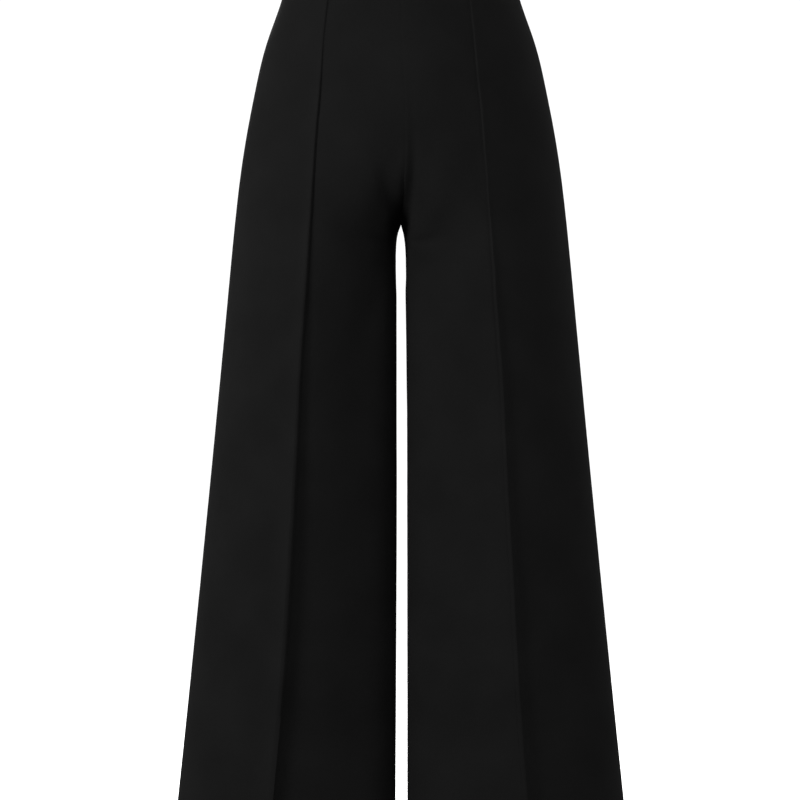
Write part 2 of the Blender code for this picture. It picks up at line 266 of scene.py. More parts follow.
def inner_edge(cut, height):
    """Where a row starts, its direction there, and the way out of the cloth in the seam's plane."""
    straight = np.array([0.0, float(cut.way), 0.0])
    if height >= CROTCH_CURVE_TOP:
        return np.array([0.0, cut.way * cut.centre(height), height]), np.array([1.0, 0.0, 0.0]), straight
    if height >= CROTCH_ROW:
        return crotch_point(cut, height)
    inwards = np.array([-1.0, 0.0, 0.0])
    if height < LEVEL_AGAIN:
        return np.array([inseam_out(-height), inseam_back(height), height]), straight, inwards
    share = (CROTCH_ROW - height) / (CROTCH_ROW - LEVEL_AGAIN)
    drop = LEVEL_AGAIN * share
    direction = unit((1 - eased(share)) * crotch_point(cut, CROTCH_ROW)[1] + eased(share) * straight)
    slope = (inseam_out(-drop + MM) - inseam_out(-drop)) / MM
    point = np.array([inseam_out(-drop), inseam_back(drop), drop])
    return point, direction, unit(np.array([-1.0, 0.0, -slope]))


FINE_POINTS = 96


def bezier(start, start_way, end, end_way):
    """Points on a cubic that leaves start along start_way and reaches end along end_way, round as an arc."""
    turn = math.acos(max(-1.0, min(1.0, float(start_way @ end_way))))
    handle = np.linalg.norm(end - start) / (3 * math.cos(turn / 4) ** 2)
    t = np.linspace(0, 1, FINE_POINTS)[:, None]
    p1, p2 = start + handle * start_way, end - handle * end_way
    return (1 - t) ** 3 * start + 3 * (1 - t) ** 2 * t * p1 + 3 * (1 - t) * t**2 * p2 + t**3 * end


def row_curve(cut, height):
    """A row's fine points, and each one's distance from the crease along the row, inwards negative."""
    start, start_way, _ = inner_edge(cut, height)
    level = height + CREASE_DIP * (start[2] - height)
    fold = np.array([cut.out(height), cut.way * cut.reach(height), level])
    side = np.array([side_out(height), side_back(height), height])
    turns = [math.radians(turn(height)) for turn in (cut.turn_in, cut.turn_out)]
    arriving, leaving = (np.array([math.cos(turn), -cut.way * math.sin(turn), 0.0]) for turn in turns)
    inner = bezier(start, start_way, fold, arriving)
    outer = bezier(fold, leaving, side, np.array([0.0, -float(cut.way), 0.0]))
    points = np.vstack([inner, outer[1:]])
    along = np.concatenate([[0], np.cumsum(np.linalg.norm(np.diff(points, axis=0), axis=1))])
    return points, along - along[len(inner) - 1]


def read_along(points, along, places):
    """Points at the given distances along a row."""
    return np.stack([np.interp(places, along, points[:, axis]) for axis in range(3)], axis=1)


# Columns stand close together at the crease and at the seams, where the cloth turns sharply.
NEAR_CREASE = np.array([0.3, 0.6, 0.9, 1.2, 1.6, 2.1, 2.8, 4.0, 6.0, 8.5, 11.5, 15.0, 19.5, 25.0]) * MM
NEAR_SEAM = np.array([7.0, 4.6, 3.0, 1.9, 1.1, 0.5, 0.0]) * MM
MIDDLE_COLUMNS = 22
CREASE_COLUMN = len(NEAR_CREASE) + MIDDLE_COLUMNS - 2 + len(NEAR_SEAM)
ROW_PITCH = 5.2 * MM
# The hem is turned up 30 mm. Its fold is round, and its right side faces into the leg.
HEM_TURN_UP = 30 * MM
HEM_FOLD = 1.3 * MM
HEM_SLACK = 0.1 * MM


def half_places(width):
    """Column distances from the crease to a seam that far away."""
    middle = np.linspace(NEAR_CREASE[-1], width - NEAR_SEAM[0], MIDDLE_COLUMNS)[1:-1]
    return np.concatenate([NEAR_CREASE, middle, width - NEAR_SEAM])


def row_heights():
    """Heights of the rows from the waist seam to the fold of the hem, with one at each corner of the cut."""
    stops = [WAIST_SEAM - NEAR_SEAM[0], CROTCH_CURVE_TOP, CROTCH_ROW, LEVEL_AGAIN, -INSEAM_DROP + HEM_FOLD]
    heights = list(WAIST_SEAM - NEAR_SEAM[:0:-1])
    for upper, lower in zip(stops, stops[1:]):
        count = round((upper - lower) / ROW_PITCH)
        heights += list(np.linspace(upper, lower, count, endpoint=False))
    return np.array(heights + [stops[-1]])


def panel_form(cut, heights):
    """A panel's smooth cloth: its points, the ways out of it, and distances from the crease and the seams."""
    rows, places, edges = [], [], []
    for height in heights:
        fine, along = row_curve(cut, height)
        place = np.concatenate([-half_places(-along[0])[::-1], [0.0], half_places(along[-1])])
        rows.append(read_along(fine, along, place))
        places.append(place)
        edges.append(inner_edge(cut, height)[2])
    points, places = np.array(rows), np.array(places)
    outwards = unit(np.cross(np.gradient(points, axis=1), np.gradient(points, axis=0)) * cut.way)
    from_inner, from_side = places - places[:, :1], places[:, -1:] - places
    level = np.array([1.0, 0.0, 0.0])
    for edge, distance in ((np.array(edges)[:, None], from_inner), (level, from_side)):
        share = np.clip(1 - distance / NEAR_SEAM[0], 0, 1)[:, :, None]
        outwards = unit(outwards * (1 - share) + edge * share)
    is_crotch = heights >= CROTCH_ROW
    points[is_crotch, 0, 0] = SEAM_GAP / 2
    points[heights <= CROTCH_ROW, 0, 1] += cut.way * SEAM_GAP / 2
    points[:, -1, 1] += cut.way * SEAM_GAP / 2
    return SimpleNamespace(
        cut=cut, points=points, outwards=outwards, place=places, from_inner=from_inner, from_side=from_side,
        from_seam=np.minimum(from_inner, from_side),
    )


# Soft folds in the worn cloth. Each runs between two points of its panel: along is the distance from the
# crease. Depth is outwards positive and dies away towards both ends.
FOLDS = {
    # along_a, height_a, along_b, height_b, width, depth, all in mm
    "right_front": [
        (-62, -150, -118, 30, 16, -2.2),
        (-100, 70, -90, 20, 12, 1.0),
        (70, -60, 82, -700, 40, -1.6),
    ],
    "left_front": [
        (-88, 74, -110, 10, 12, -1.4),
        (75, -160, 88, -760, 42, -1.8),
        (-70, -330, -82, -770, 40, -1.4),
    ],
    "right_back": [
        (70, -10, 92, -740, 30, -5.0),
        (-62, -60, -78, -600, 28, -4.0),
        (-85, 60, -20, -30, 16, -2.6),
        (-96, -6, 6, -66, 10, -2.2),
        (-88, -44, -6, -104, 12, -1.8),
    ],
    "left_back": [
        (82, 10, 80, -620, 30, -4.6),
        (-58, -100, -84, -760, 30, -4.2),
        (-90, 50, -34, -46, 16, -2.4),
        (-98, -14, -10, -86, 11, -2.4),
        (-90, -62, 4, -128, 13, -1.5),
    ],
}
# Short pulls that run into the crotch, placed by their distance out from the centre seam. SEAM_PULL lies on
# the seam itself.
SEAM_PULL = (0, 82, 0, 4, 7.0, 2.6)
CROTCH_PULLS = {
    # out_a, height_a, out_b, height_b, width, depth, all in mm
    "right_front": [
        (22, 62, 13, -14, 6.0, -2.6),
        (8, 62, 4, 16, 6.0, 1.6),
        (34, 40, 25, -40, 9.0, -0.8),
    ],
    "left_front": [
        (7, 150, 9, 60, 3.5, -0.5),
        (10, 104, 10, -14, 5.0, -2.2),
        (17, 45, 18, -60, 9.0, 2.2),
    ],
    "right_back": [
        (10, 44, 20, -4, 7.0, -1.4),
    ],
    "left_back": [
        (8, 52, 17, 0, 6.0, -1.2),
        (30, 30, 26, -20, 8.0, -0.8),
    ],
}


def bell(distance, reach):
    """1 at no distance, dying away smoothly over about twice the reach."""
    return np.exp(-((distance / reach) ** 2))


def fold_relief(folds, across, height):
    """How far a panel's soft folds move its points outwards."""
    total = np.zeros_like(height)
    for across_a, height_a, across_b, height_b, width, depth in folds:
        run = np.array([across_b - across_a, height_b - height_a]) * MM
        length = np.linalg.norm(run)
        x, z = across - across_a * MM, height - height_a * MM
        share = (x * run[0] + z * run[1]) / length**2
        beside = (x * run[1] - z * run[0]) / length
        fade = np.cos(math.pi / 2 * np.clip(np.abs(2 * share - 1), 0, 1))
        total += depth * MM * fade * bell(beside, width * MM)
    return total


def uneven(across, along, width, length, seed):
    """Smooth unevenness from -1 to 1, in bumps about width across and length along."""
    flat = [noise.noise((a / width, b / length, seed)) for a, b in zip(across.ravel(), along.ravel())]
    return np.array(flat).reshape(across.shape)


def uneven_along(along, length, seed):
    """Smooth unevenness from -1 to 1 that changes along one line only."""
    return uneven(along, 0 * along, length, 1.0, seed)


# Seams are sewn 10 mm in from the cut edge: the cloth rolls into them and puckers a little beside them. The
# centre seams are pressed flatter than the others.
SEAM_DITCH, CENTRE_DITCH, SEAM_ROLL = 0.70 * MM, 0.12 * MM, 1.5 * MM
PRESSED_DOWN_TO, PRESSING_FADE = 35 * MM, 60 * MM
PUCKER, PUCKER_PITCH, PUCKER_DEPTH, PUCKER_REACH = 0.16 * MM, 9 * MM, 50 * MM, 6 * MM
FOLD_EDGE, PULL_EDGE = 20 * MM, 6 * MM
DART_LENGTH, DART_DITCH, DART_FADE = 0.105, 0.60 * MM, 0.025
# Worn cloth is never quite smooth: wide swells with small ones over them, and a crease of uneven steepness.
SWELL, SWELL_WIDTH, SWELL_LENGTH = 0.55 * MM, 50 * MM, 160 * MM
RIPPLE, RIPPLE_WIDTH, RIPPLE_LENGTH = 0.16 * MM, 17 * MM, 40 * MM
FLANK_SHARE, FLANK_LENGTH = 0.20, 45 * MM


def pressed_relief(distance, rise, width):
    """The height of a pressed fold's flank: straight by its edge, then easing out into the cloth."""
    straight, ease = 0.55 * width, 0.9 * width
    u = np.clip((distance - straight) / ease, 0, 1)
    return rise / width * (ease * (0.5 - u + u**3 - u**4 / 2) + np.maximum(0, straight - distance))


def cloth_relief(form, panel, seed, fold_rows, dart):
    """How far the worn cloth stands out from its smooth form, apart from the tuck."""
    height, out = form.points[:, :, 2], form.points[:, :, 0]
    inside_seams = np.clip(form.from_seam / FOLD_EDGE, 0, 1)
    relief = fold_relief(FOLDS[panel], form.place, height) * inside_seams
    relief += fold_relief(CROTCH_PULLS[panel], out, height) * eased(form.from_inner / PULL_EDGE)
    if panel.endswith("front"):
        relief += fold_relief([SEAM_PULL], out, height)
        fullness = smooth_table(FRONT_FULLNESS, 1 if panel.startswith("right") else 2)(height) * MM
        relief += np.maximum(0, fullness) * bell(form.from_inner - FULLEST_AT, FULLNESS_REACH)
    column, left_way = (1, -1) if panel.startswith("right") else (4, 1)
    rise, steep, gentle = (smooth_table(fold_rows, column + k)(height) * MM for k in range(3))
    steep = steep * (1 + FLANK_SHARE * uneven_along(height, FLANK_LENGTH, seed + 5))
    flank = np.where(form.place * left_way > 0, steep, gentle)
    relief += pressed_relief(np.abs(form.place), np.maximum(0, rise), np.maximum(flank, 2 * MM))
    if dart:
        closed = eased((height - WAIST_SEAM + DART_LENGTH) / DART_FADE)
        relief -= DART_DITCH * closed * bell(form.place, SEAM_ROLL)
    relief += SWELL * uneven(form.place, height, SWELL_WIDTH, SWELL_LENGTH, seed) * inside_seams
    relief += RIPPLE * uneven(form.place, height, RIPPLE_WIDTH, RIPPLE_LENGTH, seed + 7) * inside_seams
    below_pressing = eased((PRESSED_DOWN_TO - height) / PRESSING_FADE)
    inner_ditch = CENTRE_DITCH + (SEAM_DITCH - CENTRE_DITCH) * below_pressing
    seams = [
        (form.from_inner, height, inner_ditch),
        (form.from_side, height, SEAM_DITCH),
        (WAIST_SEAM - height, form.place, SEAM_DITCH),
    ]
    for distance, along, ditch in seams:
        relief -= ditch * bell(distance, SEAM_ROLL)
        pucker = uneven(along, distance, PUCKER_PITCH, PUCKER_DEPTH, seed + 3)
        pucker = pucker * np.clip(distance / SEAM_ROLL, 0, 1)
        relief += PUCKER * ditch / SEAM_DITCH * pucker * np.exp(-distance / PUCKER_REACH)
    return relief


# The tuck is the crease's cloth folded on itself, sewn through 1.6 mm from the fold and pressed inwards. The
# cloth rises softly to its fold, then drops over the edge to the line of the stitches.
TUCK_SEWN_AT = 1.6 * MM
TUCK_PROFILE = [
    # distance from the fold (outwards positive), height, shift outwards, all in mm
    (-6.0, 0.00, 0.00),
    (-4.0, -0.04, 0.00),
    (-2.8, -0.22, 0.00),
    (-2.1, -0.40, 0.00),
    (-1.6, -0.48, 0.00),
    (-1.2, -0.28, 0.05),
    (-0.9, 0.34, 0.12),
    (-0.6, 0.82, 0.06),
    (-0.3, 1.22, 0.00),
    (0.0, 1.48, -0.05),
    (0.3, 1.64, -0.03),
    (0.6, 1.72, 0.00),
    (0.9, 1.74, 0.00),
    (1.6, 1.70, 0.00),
    (2.8, 1.46, 0.00),
    (4.0, 1.20, 0.00),
    (6.0, 0.82, 0.00),
    (8.5, 0.44, 0.00),
    (11.5, 0.16, 0.00),
    (15.0, 0.00, 0.00),
]
TUCK_PRESS_SHARE, TUCK_PRESS_LENGTH = 0.16, 35 * MM
TUCK_WANDER, TUCK_WANDER_REACH, WAVER_REACH = 0.45 * MM, 14 * MM, 35 * MM
SHORT_WANDER_LENGTH, LONG_WANDER_LENGTH, LONG_WANDER_SHARE = 28 * MM, 130 * MM, 1.2


def tuck_relief(form, panel, seed):
    """How far the tuck stands above the cloth and is shifted along it, uneven as a pressed fold is."""
    column = 1 if panel.startswith("right") else 2
    distance, height, shift = np.array(TUCK_PROFILE).T * MM
    along = form.points[:, :, 2]
    press = 1 + TUCK_PRESS_SHARE * uneven_along(along, TUCK_PRESS_LENGTH, seed)
    press = press * smooth_table(FRONT_WAVER, column + 2)(along)
    raised = np.interp(form.place, distance, height) * press
    wander = uneven_along(along, SHORT_WANDER_LENGTH, seed + 2)
    wander += LONG_WANDER_SHARE * uneven_along(along, LONG_WANDER_LENGTH, seed + 4)
    wander = TUCK_WANDER * wander * np.exp(-np.abs(form.place) / TUCK_WANDER_REACH)
    wander += smooth_table(FRONT_WAVER, column)(along) * MM * bell(form.place, WAVER_REACH)
    return raised, np.interp(form.place, distance, shift), wander


def with_turned_hem(outer, inner, outwards):
    """A panel's two faces, with the rows of the folded hem and of the turned-up cloth added to them."""
    down = np.array([0.0, 0.0, -1.0])
    level = unit(outwards[-1] * np.array([1.0, 1.0, 0.0]))
    middle = outer[-1] - level * HEM_FOLD
    outside, inside = [], []
    for angle in np.linspace(0, math.pi, 8)[1:]:
        spoke = level * math.cos(angle) + down * math.sin(angle)
        outside.append(middle + spoke * HEM_FOLD)
        inside.append(middle + spoke * HEM_SLACK)
    for rise in np.linspace(0, HEM_TURN_UP, 7)[1:]:
        row = np.argmin(np.abs(outer[:, 0, 2] - (outer[-1, 0, 2] + rise)))
        above, below = outer[row - 1], outer[row]
        share = ((outer[-1, :, 2] + rise - below[:, 2]) / (above[:, 2] - below[:, 2]))[:, None]
        wall = below + (above - below) * share
        outside.append(wall - level * 2 * HEM_FOLD)
        inside.append(wall - level * (HEM_FOLD + HEM_SLACK))
    return np.concatenate([outer, outside]), np.concatenate([inner, inside])


def flipped(vectors, mirrored):
    """Vectors of the left leg's cut, or their mirror image for the right leg."""
    return vectors * np.array([-1.0 if mirrored else 1.0, 1.0, 1.0])


def in_frame(points, mirrored):
    """Points of the left leg's cut in the object's own frame, or their mirror image for the right leg."""
    return flipped(points, mirrored) - np.array([0.0, 0.0, CROTCH_BELOW_WAIST])


SHARP_FOLD = math.radians(70)


def add_object(name, data):
    """An object at the origin, in the scene."""
    made = bpy.data.objects.new(name, data)
    bpy.context.scene.collection.objects.link(made)
    return made


def closed_cloth(name, outer, inner, chart, mirrored, ring=False):
    """One closed mesh from two grids of points. chart gives each point's place on the flat cut, in metres."""
    mesh = bmesh.new()
    uv = mesh.loops.layers.uv.new("cut")
    rows, columns = outer.shape[:2]
    verts = {}
    for side, grid in ((0, in_frame(outer, mirrored)), (1, in_frame(inner, mirrored))):
        for i in range(rows):
            for j in range(columns):
                verts[side, i, j] = mesh.verts.new(grid[i, j])
    order = -1 if mirrored else 1

    def face(corners, charted):
        made = mesh.faces.new([verts[corner] for corner in corners][::order])
        for loop, at in zip(made.loops, charted[::order]):
            loop[uv].uv = chart[at]

    for i in range(rows - 1):
        for j in range(columns if ring else columns - 1):
            k = (j + 1) % columns
            quad = [(i, j), (i, j + 1), (i + 1, j + 1), (i + 1, j)]
            spots = [(i, j), (i, k), (i + 1, k), (i + 1, j)]
            face([(0, *spot) for spot in spots], quad)
            face([(1, *spot) for spot in spots[::-1]], quad[::-1])
    for j in range(columns if ring else columns - 1):
        k = (j + 1) % columns
        for i, way in ((0, -1), (rows - 1, 1)):
            rim = [(0, i, j), (0, i, k), (1, i, k), (1, i, j)][::way]
            face(rim, [(i, j), (i, j + 1), (i, j + 1), (i, j)][::way])
    if not ring:
        for i in range(rows - 1):
            for j, way in ((0, 1), (columns - 1, -1)):
                rim = [(0, i, j), (0, i + 1, j), (1, i + 1, j), (1, i, j)][::way]
                face(rim, [(i, j), (i + 1, j), (i + 1, j), (i, j)][::way])
    bmesh.ops.recalc_face_normals(mesh, faces=mesh.faces)
    data = bpy.data.meshes.new(name)
    mesh.to_mesh(data)
    mesh.free()
    data.shade_smooth()
    data.set_sharp_from_angle(angle=SHARP_FOLD)
    data.materials.append(black_knit)
    return add_object(name, data)


def linear(hex_colour):
    """A colour of sRGB hex as linear red, green, blue and alpha."""
    parts = [int(hex_colour[i : i + 2], 16) / 255 for i in (1, 3, 5)]
    return tuple(c / 12.92 if c <= 0.04045 else ((c + 0.055) / 1.055) ** 2.4 for c in parts) + (1.0,)


def add_node(tree, kind, settings=None, links=None, **properties):
    """Adds a node, sets its properties and its sockets' values, and links its inputs from (node, output)."""
    node = tree.nodes.new(kind)
    for key, value in properties.items():
        setattr(node, key, value)
    for socket, value in (settings or {}).items():
        node.inputs[socket].default_value = value
    for socket, (source, output) in (links or {}).items():
        tree.links.new(source.outputs[output], node.inputs[socket])
    return node


# Double knit, or ponte: two faces of fine wool-like yarn knitted together, dyed deep black and left matt. It
# shows no lustre, only a faint nap that catches light where the cloth turns away. Its wales are 1.1 mm apart,
# too fine for the whole view, so a soft mottle of the nap, a few millimetres across, is drawn with them.
KNIT_BLACK, KNIT_WORN = "#0f0f0f", "#141414"
WALE_PITCH, COURSE_PITCH = 1.1 * MM, 0.9 * MM
NAP_SIZE, DYE_PATCH = 2.6 * MM, 70 * MM


def double_knit(name, deep, worn):
    material = bpy.data.materials.new(name)
    material.use_nodes = True
    tree = material.node_tree
    surface = tree.nodes["Principled BSDF"]
    chart = add_node(tree, "ShaderNodeUVMap", uv_map="cut")
    nap, dye = (
        add_node(
            tree, "ShaderNodeTexNoise", {"Scale": 1 / size, "Detail": detail, "Roughness": roughness},
            {"Vector": (chart, "UV")},
        )
        for size, detail, roughness in ((NAP_SIZE, 3.0, 0.6), (DYE_PATCH, 2.0, 0.5))
    )
    shade = add_node(
        tree, "ShaderNodeMix", {"Factor": 0.5}, {"A": (nap, "Fac"), "B": (dye, "Fac")}, data_type="FLOAT"
    )
    tone = add_node(tree, "ShaderNodeValToRGB", links={"Fac": (shade, "Result")})
    tone.color_ramp.elements[0].position, tone.color_ramp.elements[0].color = 0.35, linear(deep)
    tone.color_ramp.elements[1].position, tone.color_ramp.elements[1].color = 0.65, linear(worn)
    dull = add_node(
        tree, "ShaderNodeMapRange", {"To Min": 0.74, "To Max": 0.92}, {"Value": (nap, "Fac")}
    )
    bands = {}
    for direction, pitch in (("X", WALE_PITCH), ("Y", COURSE_PITCH)):
        bands[direction] = add_node(
            tree, "ShaderNodeTexWave",
            {"Scale": math.tau / (20 * pitch), "Distortion": 1.2, "Detail": 2.0, "Detail Scale": 1.5},
            {"Vector": (chart, "UV")}, bands_direction=direction,
        )
    loops = add_node(
        tree, "ShaderNodeMath", links={0: (bands["X"], "Fac"), 1: (bands["Y"], "Fac")}, operation="ADD"
    )
    knit = add_node(tree, "ShaderNodeBump", {"Strength": 0.35, "Distance": 0.10 * MM}, {"Height": (loops, 0)})
    fuzz = add_node(
        tree, "ShaderNodeBump", {"Strength": 0.5, "Distance": 0.22 * MM},
        {"Height": (nap, "Fac"), "Normal": (knit, "Normal")},
    )
    tree.links.new(tone.outputs["Color"], surface.inputs["Base Color"])
    tree.links.new(dull.outputs["Result"], surface.inputs["Roughness"])
    tree.links.new(fuzz.outputs["Normal"], surface.inputs["Normal"])
    surface.inputs["Specular IOR Level"].default_value = 0.05
    surface.inputs["Sheen Weight"].default_value = 0.02
    surface.inputs["Sheen Roughness"].default_value = 0.35
    return material


black_knit = double_knit("black_double_knit", KNIT_BLACK, KNIT_WORN)
heights = row_heights()
front_form = panel_form(cut_of(-1, 1, FRONT_CREASE), heights)


def panel_piece(form, panel, seed, fold_rows, tucked):
    """One leg panel as worn, with the points that things are sewn to. Of these, worn is without the tuck."""
    relief = cloth_relief(form, panel, seed, fold_rows, dart=not tucked)
    worn = form.points + form.outwards * relief[:, :, None]
    worn[0, :, 2] -= SEAM_GAP / 2
    face = worn.copy()
    if tucked:
        raised, shift, wander = tuck_relief(form, panel, seed + 11)
        sideways = unit(np.gradient(form.points, axis=1))
        worn += sideways * wander[:, :, None]
        pull = smooth_table(CENTRE_WAVER, 1)(form.points[:, :, 2]) * MM
        pull = pull * bell(form.points[:, :, 0], CENTRE_WAVER_REACH)
        worn[:, :, 0] += -pull if panel.startswith("right") else pull
        bridge = CROTCH_BRIDGE[panel] * eased(form.from_inner / BRIDGE_EASE)
        for axis, middle, reach in BRIDGE_SPREAD:
            bridge = bridge * bell(form.points[:, :, axis] - middle, reach)
        worn[:, :, 1] -= bridge
        face = worn + form.outwards * raised[:, :, None] + sideways * shift[:, :, None]
    outer, inner = with_turned_hem(face, worn - form.outwards * CLOTH_THICK, form.outwards)
    extra = len(outer) - len(form.points)
    below = form.points[-1, :, 2] - (np.arange(1, extra + 1) * (HEM_TURN_UP / extra))[:, None]
    chart = np.stack([
        np.concatenate([form.place, np.repeat(form.place[-1:], extra, axis=0)]),
        np.concatenate([form.points[:, :, 2], below]),
    ], axis=2)
    mirrored = panel.startswith("right")
    piece = closed_cloth(f"{panel}_panel", outer, inner, chart, mirrored)
    return SimpleNamespace(piece=piece, form=form, face=face, worn=worn, turned=outer, mirrored=mirrored)


# Each seam's two allowances are overlocked together, which trims them to 8.5 mm and pinches their edge, and
# pressed to one side, flat on the inside of a panel. They start a little beyond the seam.
ALLOWANCE_COLUMNS = np.array([-1.2, 0.5, 1.5, 3.0, 4.6, 6.2, 7.6, 8.5]) * MM
ALLOWANCE_THICK = 2.0 * MM
ALLOWANCE_LIFT = 0.12 * MM
EDGE_PINCH = 0.6 * MM
STEPS_BEYOND_SEAM = 4
BELOW_BAND = WAIST_SEAM - BAND_INSIDE_DROP
ABOVE_TURN_UP = -INSEAM_DROP + HEM_FOLD + HEM_TURN_UP + 1 * MM
seam_edges = []


def stitch_path(leg, line, away):
    """A path for stitches on one leg: its points, the ways out of the cloth, and that it isn't closed."""
    return in_frame(line, leg.mirrored), flipped(away, leg.mirrored), False


def seam_allowance(name, leg, at_side, highest, lowest=ABOVE_TURN_UP):
    """One seam's pressed allowances on a panel's inside. Their edge is added to the paths of the overlock."""
    rows = np.where((leg.form.points[:, 0, 2] <= highest) & (leg.form.points[:, 0, 2] >= lowest))[0]
    columns = slice(None, CREASE_COLUMN, -1) if at_side else slice(0, CREASE_COLUMN)
    under = leg.worn - leg.form.outwards * (CLOTH_THICK + ALLOWANCE_LIFT)
    outwards, edge = [], []
    for row in rows:
        line, way = under[row, columns], leg.form.outwards[row, columns]
        away = (leg.form.from_side if at_side else leg.form.from_inner)[row, columns]
        line = np.vstack([line[0] - (line[2] - line[0]) * STEPS_BEYOND_SEAM, line])
        along = np.concatenate([[away[0] - STEPS_BEYOND_SEAM * (away[2] - away[0])], away])
        outwards.append(read_along(np.vstack([way[0], way]), along, ALLOWANCE_COLUMNS))
        edge.append(read_along(line, along, ALLOWANCE_COLUMNS))
    near, outwards = np.array(edge), unit(np.array(outwards))
    far = near - outwards * ALLOWANCE_THICK
    far[:, -1] += outwards[:, -1] * EDGE_PINCH
    height = np.repeat(near[:, :1, 2], len(ALLOWANCE_COLUMNS), axis=1)
    chart = np.stack([np.broadcast_to(ALLOWANCE_COLUMNS, height.shape), height], axis=2)
    piece = closed_cloth(name, far, near, chart, leg.mirrored)
    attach(piece, "root")
    seam_edges.append(stitch_path(leg, (far[:, -3] + far[:, -2]) / 2, -outwards[:, -2]))
    return piece


fronts = {}
for seed, panel in ((10.5, "right_front"), (30.5, "left_front")):
    front = panel_piece(front_form, panel, seed, FRONT_FOLD, tucked=True)
    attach(front.piece, "root")
    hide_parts(panel)
    inside = []
    if not front.mirrored:
        inside.append(seam_allowance("centre_front_allowance", front, False, BELOW_BAND, CROTCH_ROW))
    fronts[panel] = front


# Back legs: two panels of the same knit, fuller over the seat, with a soft pressed crease and no tuck. A dart
# is sewn down from the waist of each, in line with the crease, and the allowances of the side seams and
# inseams are pressed towards them.
BACK_CREASE = [
    # height, out, back, turn_in, turn_out (degrees)
    (0.2835, 0.0600, 0.0830, 22, 22),
    (0.2515, 0.0640, 0.0862, 22, 22),
    (0.200, 0.0720, 0.0965, 21, 21),
    (0.150, 0.0790, 0.1075, 22, 22),
    (0.100, 0.0845, 0.1145, 21, 23),
    (0.050, 0.0895, 0.1165, 12, 23),
    (0.000, 0.0935, 0.1150, 2, 20),
    (-0.080, 0.0990, 0.1100, -6, 17),
    (-0.300, 0.1120, 0.1010, -9, 14),
    (-0.540, 0.1250, 0.0960, -9, 13),
    (-0.785, 0.1380, 0.0940, -10, 13),
]
BACK_FOLD = [
    # height, then rise, steep flank and gentle flank in mm, on the right leg and on the left leg
    (0.2515, 0.0, 5.0, 8.0, 0.0, 5.0, 8.0),
    (0.050, 0.0, 5.0, 8.0, 0.0, 5.0, 8.0),
    (-0.080, 1.0, 6.0, 9.0, 1.2, 7.0, 9.0),
    (-0.300, 3.2, 8.0, 14.0, 2.8, 8.0, 14.0),
    (-0.540, 4.4, 9.0, 18.0, 4.8, 10.0, 16.0),
    (-0.785, 4.8, 9.5, 18.0, 4.6, 10.0, 18.0),
]

back_form = panel_form(cut_of(1, 2, BACK_CREASE), heights)
backs = {}
for seed, panel in ((50.5, "right_back"), (70.5, "left_back")):
    back = panel_piece(back_form, panel, seed, BACK_FOLD, tucked=False)
    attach(back.piece, "root")
    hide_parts(panel)
    side = panel.split("_")[0]
    inside = [
        seam_allowance(f"{side}_side_allowance", back, True, BELOW_BAND),
        seam_allowance(f"{side}_inseam_allowance", back, False, CROTCH_ROW),
    ]
    if not back.mirrored:
        inside.append(seam_allowance("centre_back_allowance", back, False, BELOW_BAND, CROTCH_ROW))
    backs[panel] = back


# Waistband: a strip of the same knit sewn into a loop, folded in half over an elastic and sewn to the panels.
# Its inner layer reaches a little below the waist seam. The loop is joined at the centre back.
BAND_QUARTER = 56
BAND_THICK = 2.8 * MM
BAND_CUT = (0.080, 0.740)
BAND_PLAIN_FROM = 11 * MM
BAND_RIPPLE, BAND_RIPPLE_SHARE_OF_GIRTH, BAND_RIPPLE_SEED = 0.22 * MM, 0.025, 4.5


def band_ring(height, front_cut, back_cut):
    """The body's outline at one height: points once round from the centre front, and the way out of each."""
    quarters = []
    for cut in (front_cut, back_cut):
        fine, along = row_curve(cut, height)
        quarters.append(read_along(fine, along, np.linspace(along[0], along[-1], BAND_QUARTER)))
    front, back = quarters
    mirror = np.array([-1.0, 1.0, 1.0])
    ring = np.vstack([front[:-1], back[:0:-1], back[:-1] * mirror, front[:0:-1] * mirror])
    tangent = np.roll(ring, -1, axis=0) - np.roll(ring, 1, axis=0)
    return ring, unit(np.stack([tangent[:, 1], -tangent[:, 0], np.zeros(len(ring))], axis=1))


def band_faces():
    """The folded strip: its right side from the waist seam up, over and down inside, and its wrong side."""
    radius = BAND_THICK / 2
    bottom, top = WAIST_SEAM + SEAM_GAP, WAISTBAND_TOP - radius
    plain = np.linspace(bottom + BAND_PLAIN_FROM, top, 5)
    path = [(0.0, height) for height in np.concatenate([bottom + NEAR_SEAM[::-1], plain])]
    for angle in np.linspace(0, math.pi, 9)[1:-1]:
        path.append((radius * (1 - math.cos(angle)), top + radius * math.sin(angle)))
    path += [(BAND_THICK, height) for height in np.linspace(top, WAIST_SEAM - BAND_INSIDE_DROP, 9)]
    outer, inner = [], []
    for depth, height in path:
        ring, outwards = band_ring(min(height, WAISTBAND_TOP), front_form.cut, back_form.cut)
        ring[:, 2] = height
        round_share = np.clip((height - top) / radius, 0, 1)
        side = 1 if depth < radius else -1
        thickness_in = CLOTH_THICK * side * math.sqrt(max(0.0, 1 - round_share**2))
        around = np.arange(len(ring)) / len(ring)
        ripple = uneven_along(around, BAND_RIPPLE_SHARE_OF_GIRTH, BAND_RIPPLE_SEED) * BAND_RIPPLE
        ripple -= SEAM_DITCH * bell(ring[:, 0], SEAM_ROLL) * (ring[:, 1] > 0)
        ditch = SEAM_DITCH * bell(height - bottom, SEAM_ROLL) if side > 0 else 0.0
        face = ring - outwards * (depth + ditch) + outwards * ripple[:, None]
        outer.append(face)
        inner.append(face - outwards * thickness_in - np.array([0.0, 0.0, CLOTH_THICK * round_share]))
    return np.array(outer), np.array(inner), path


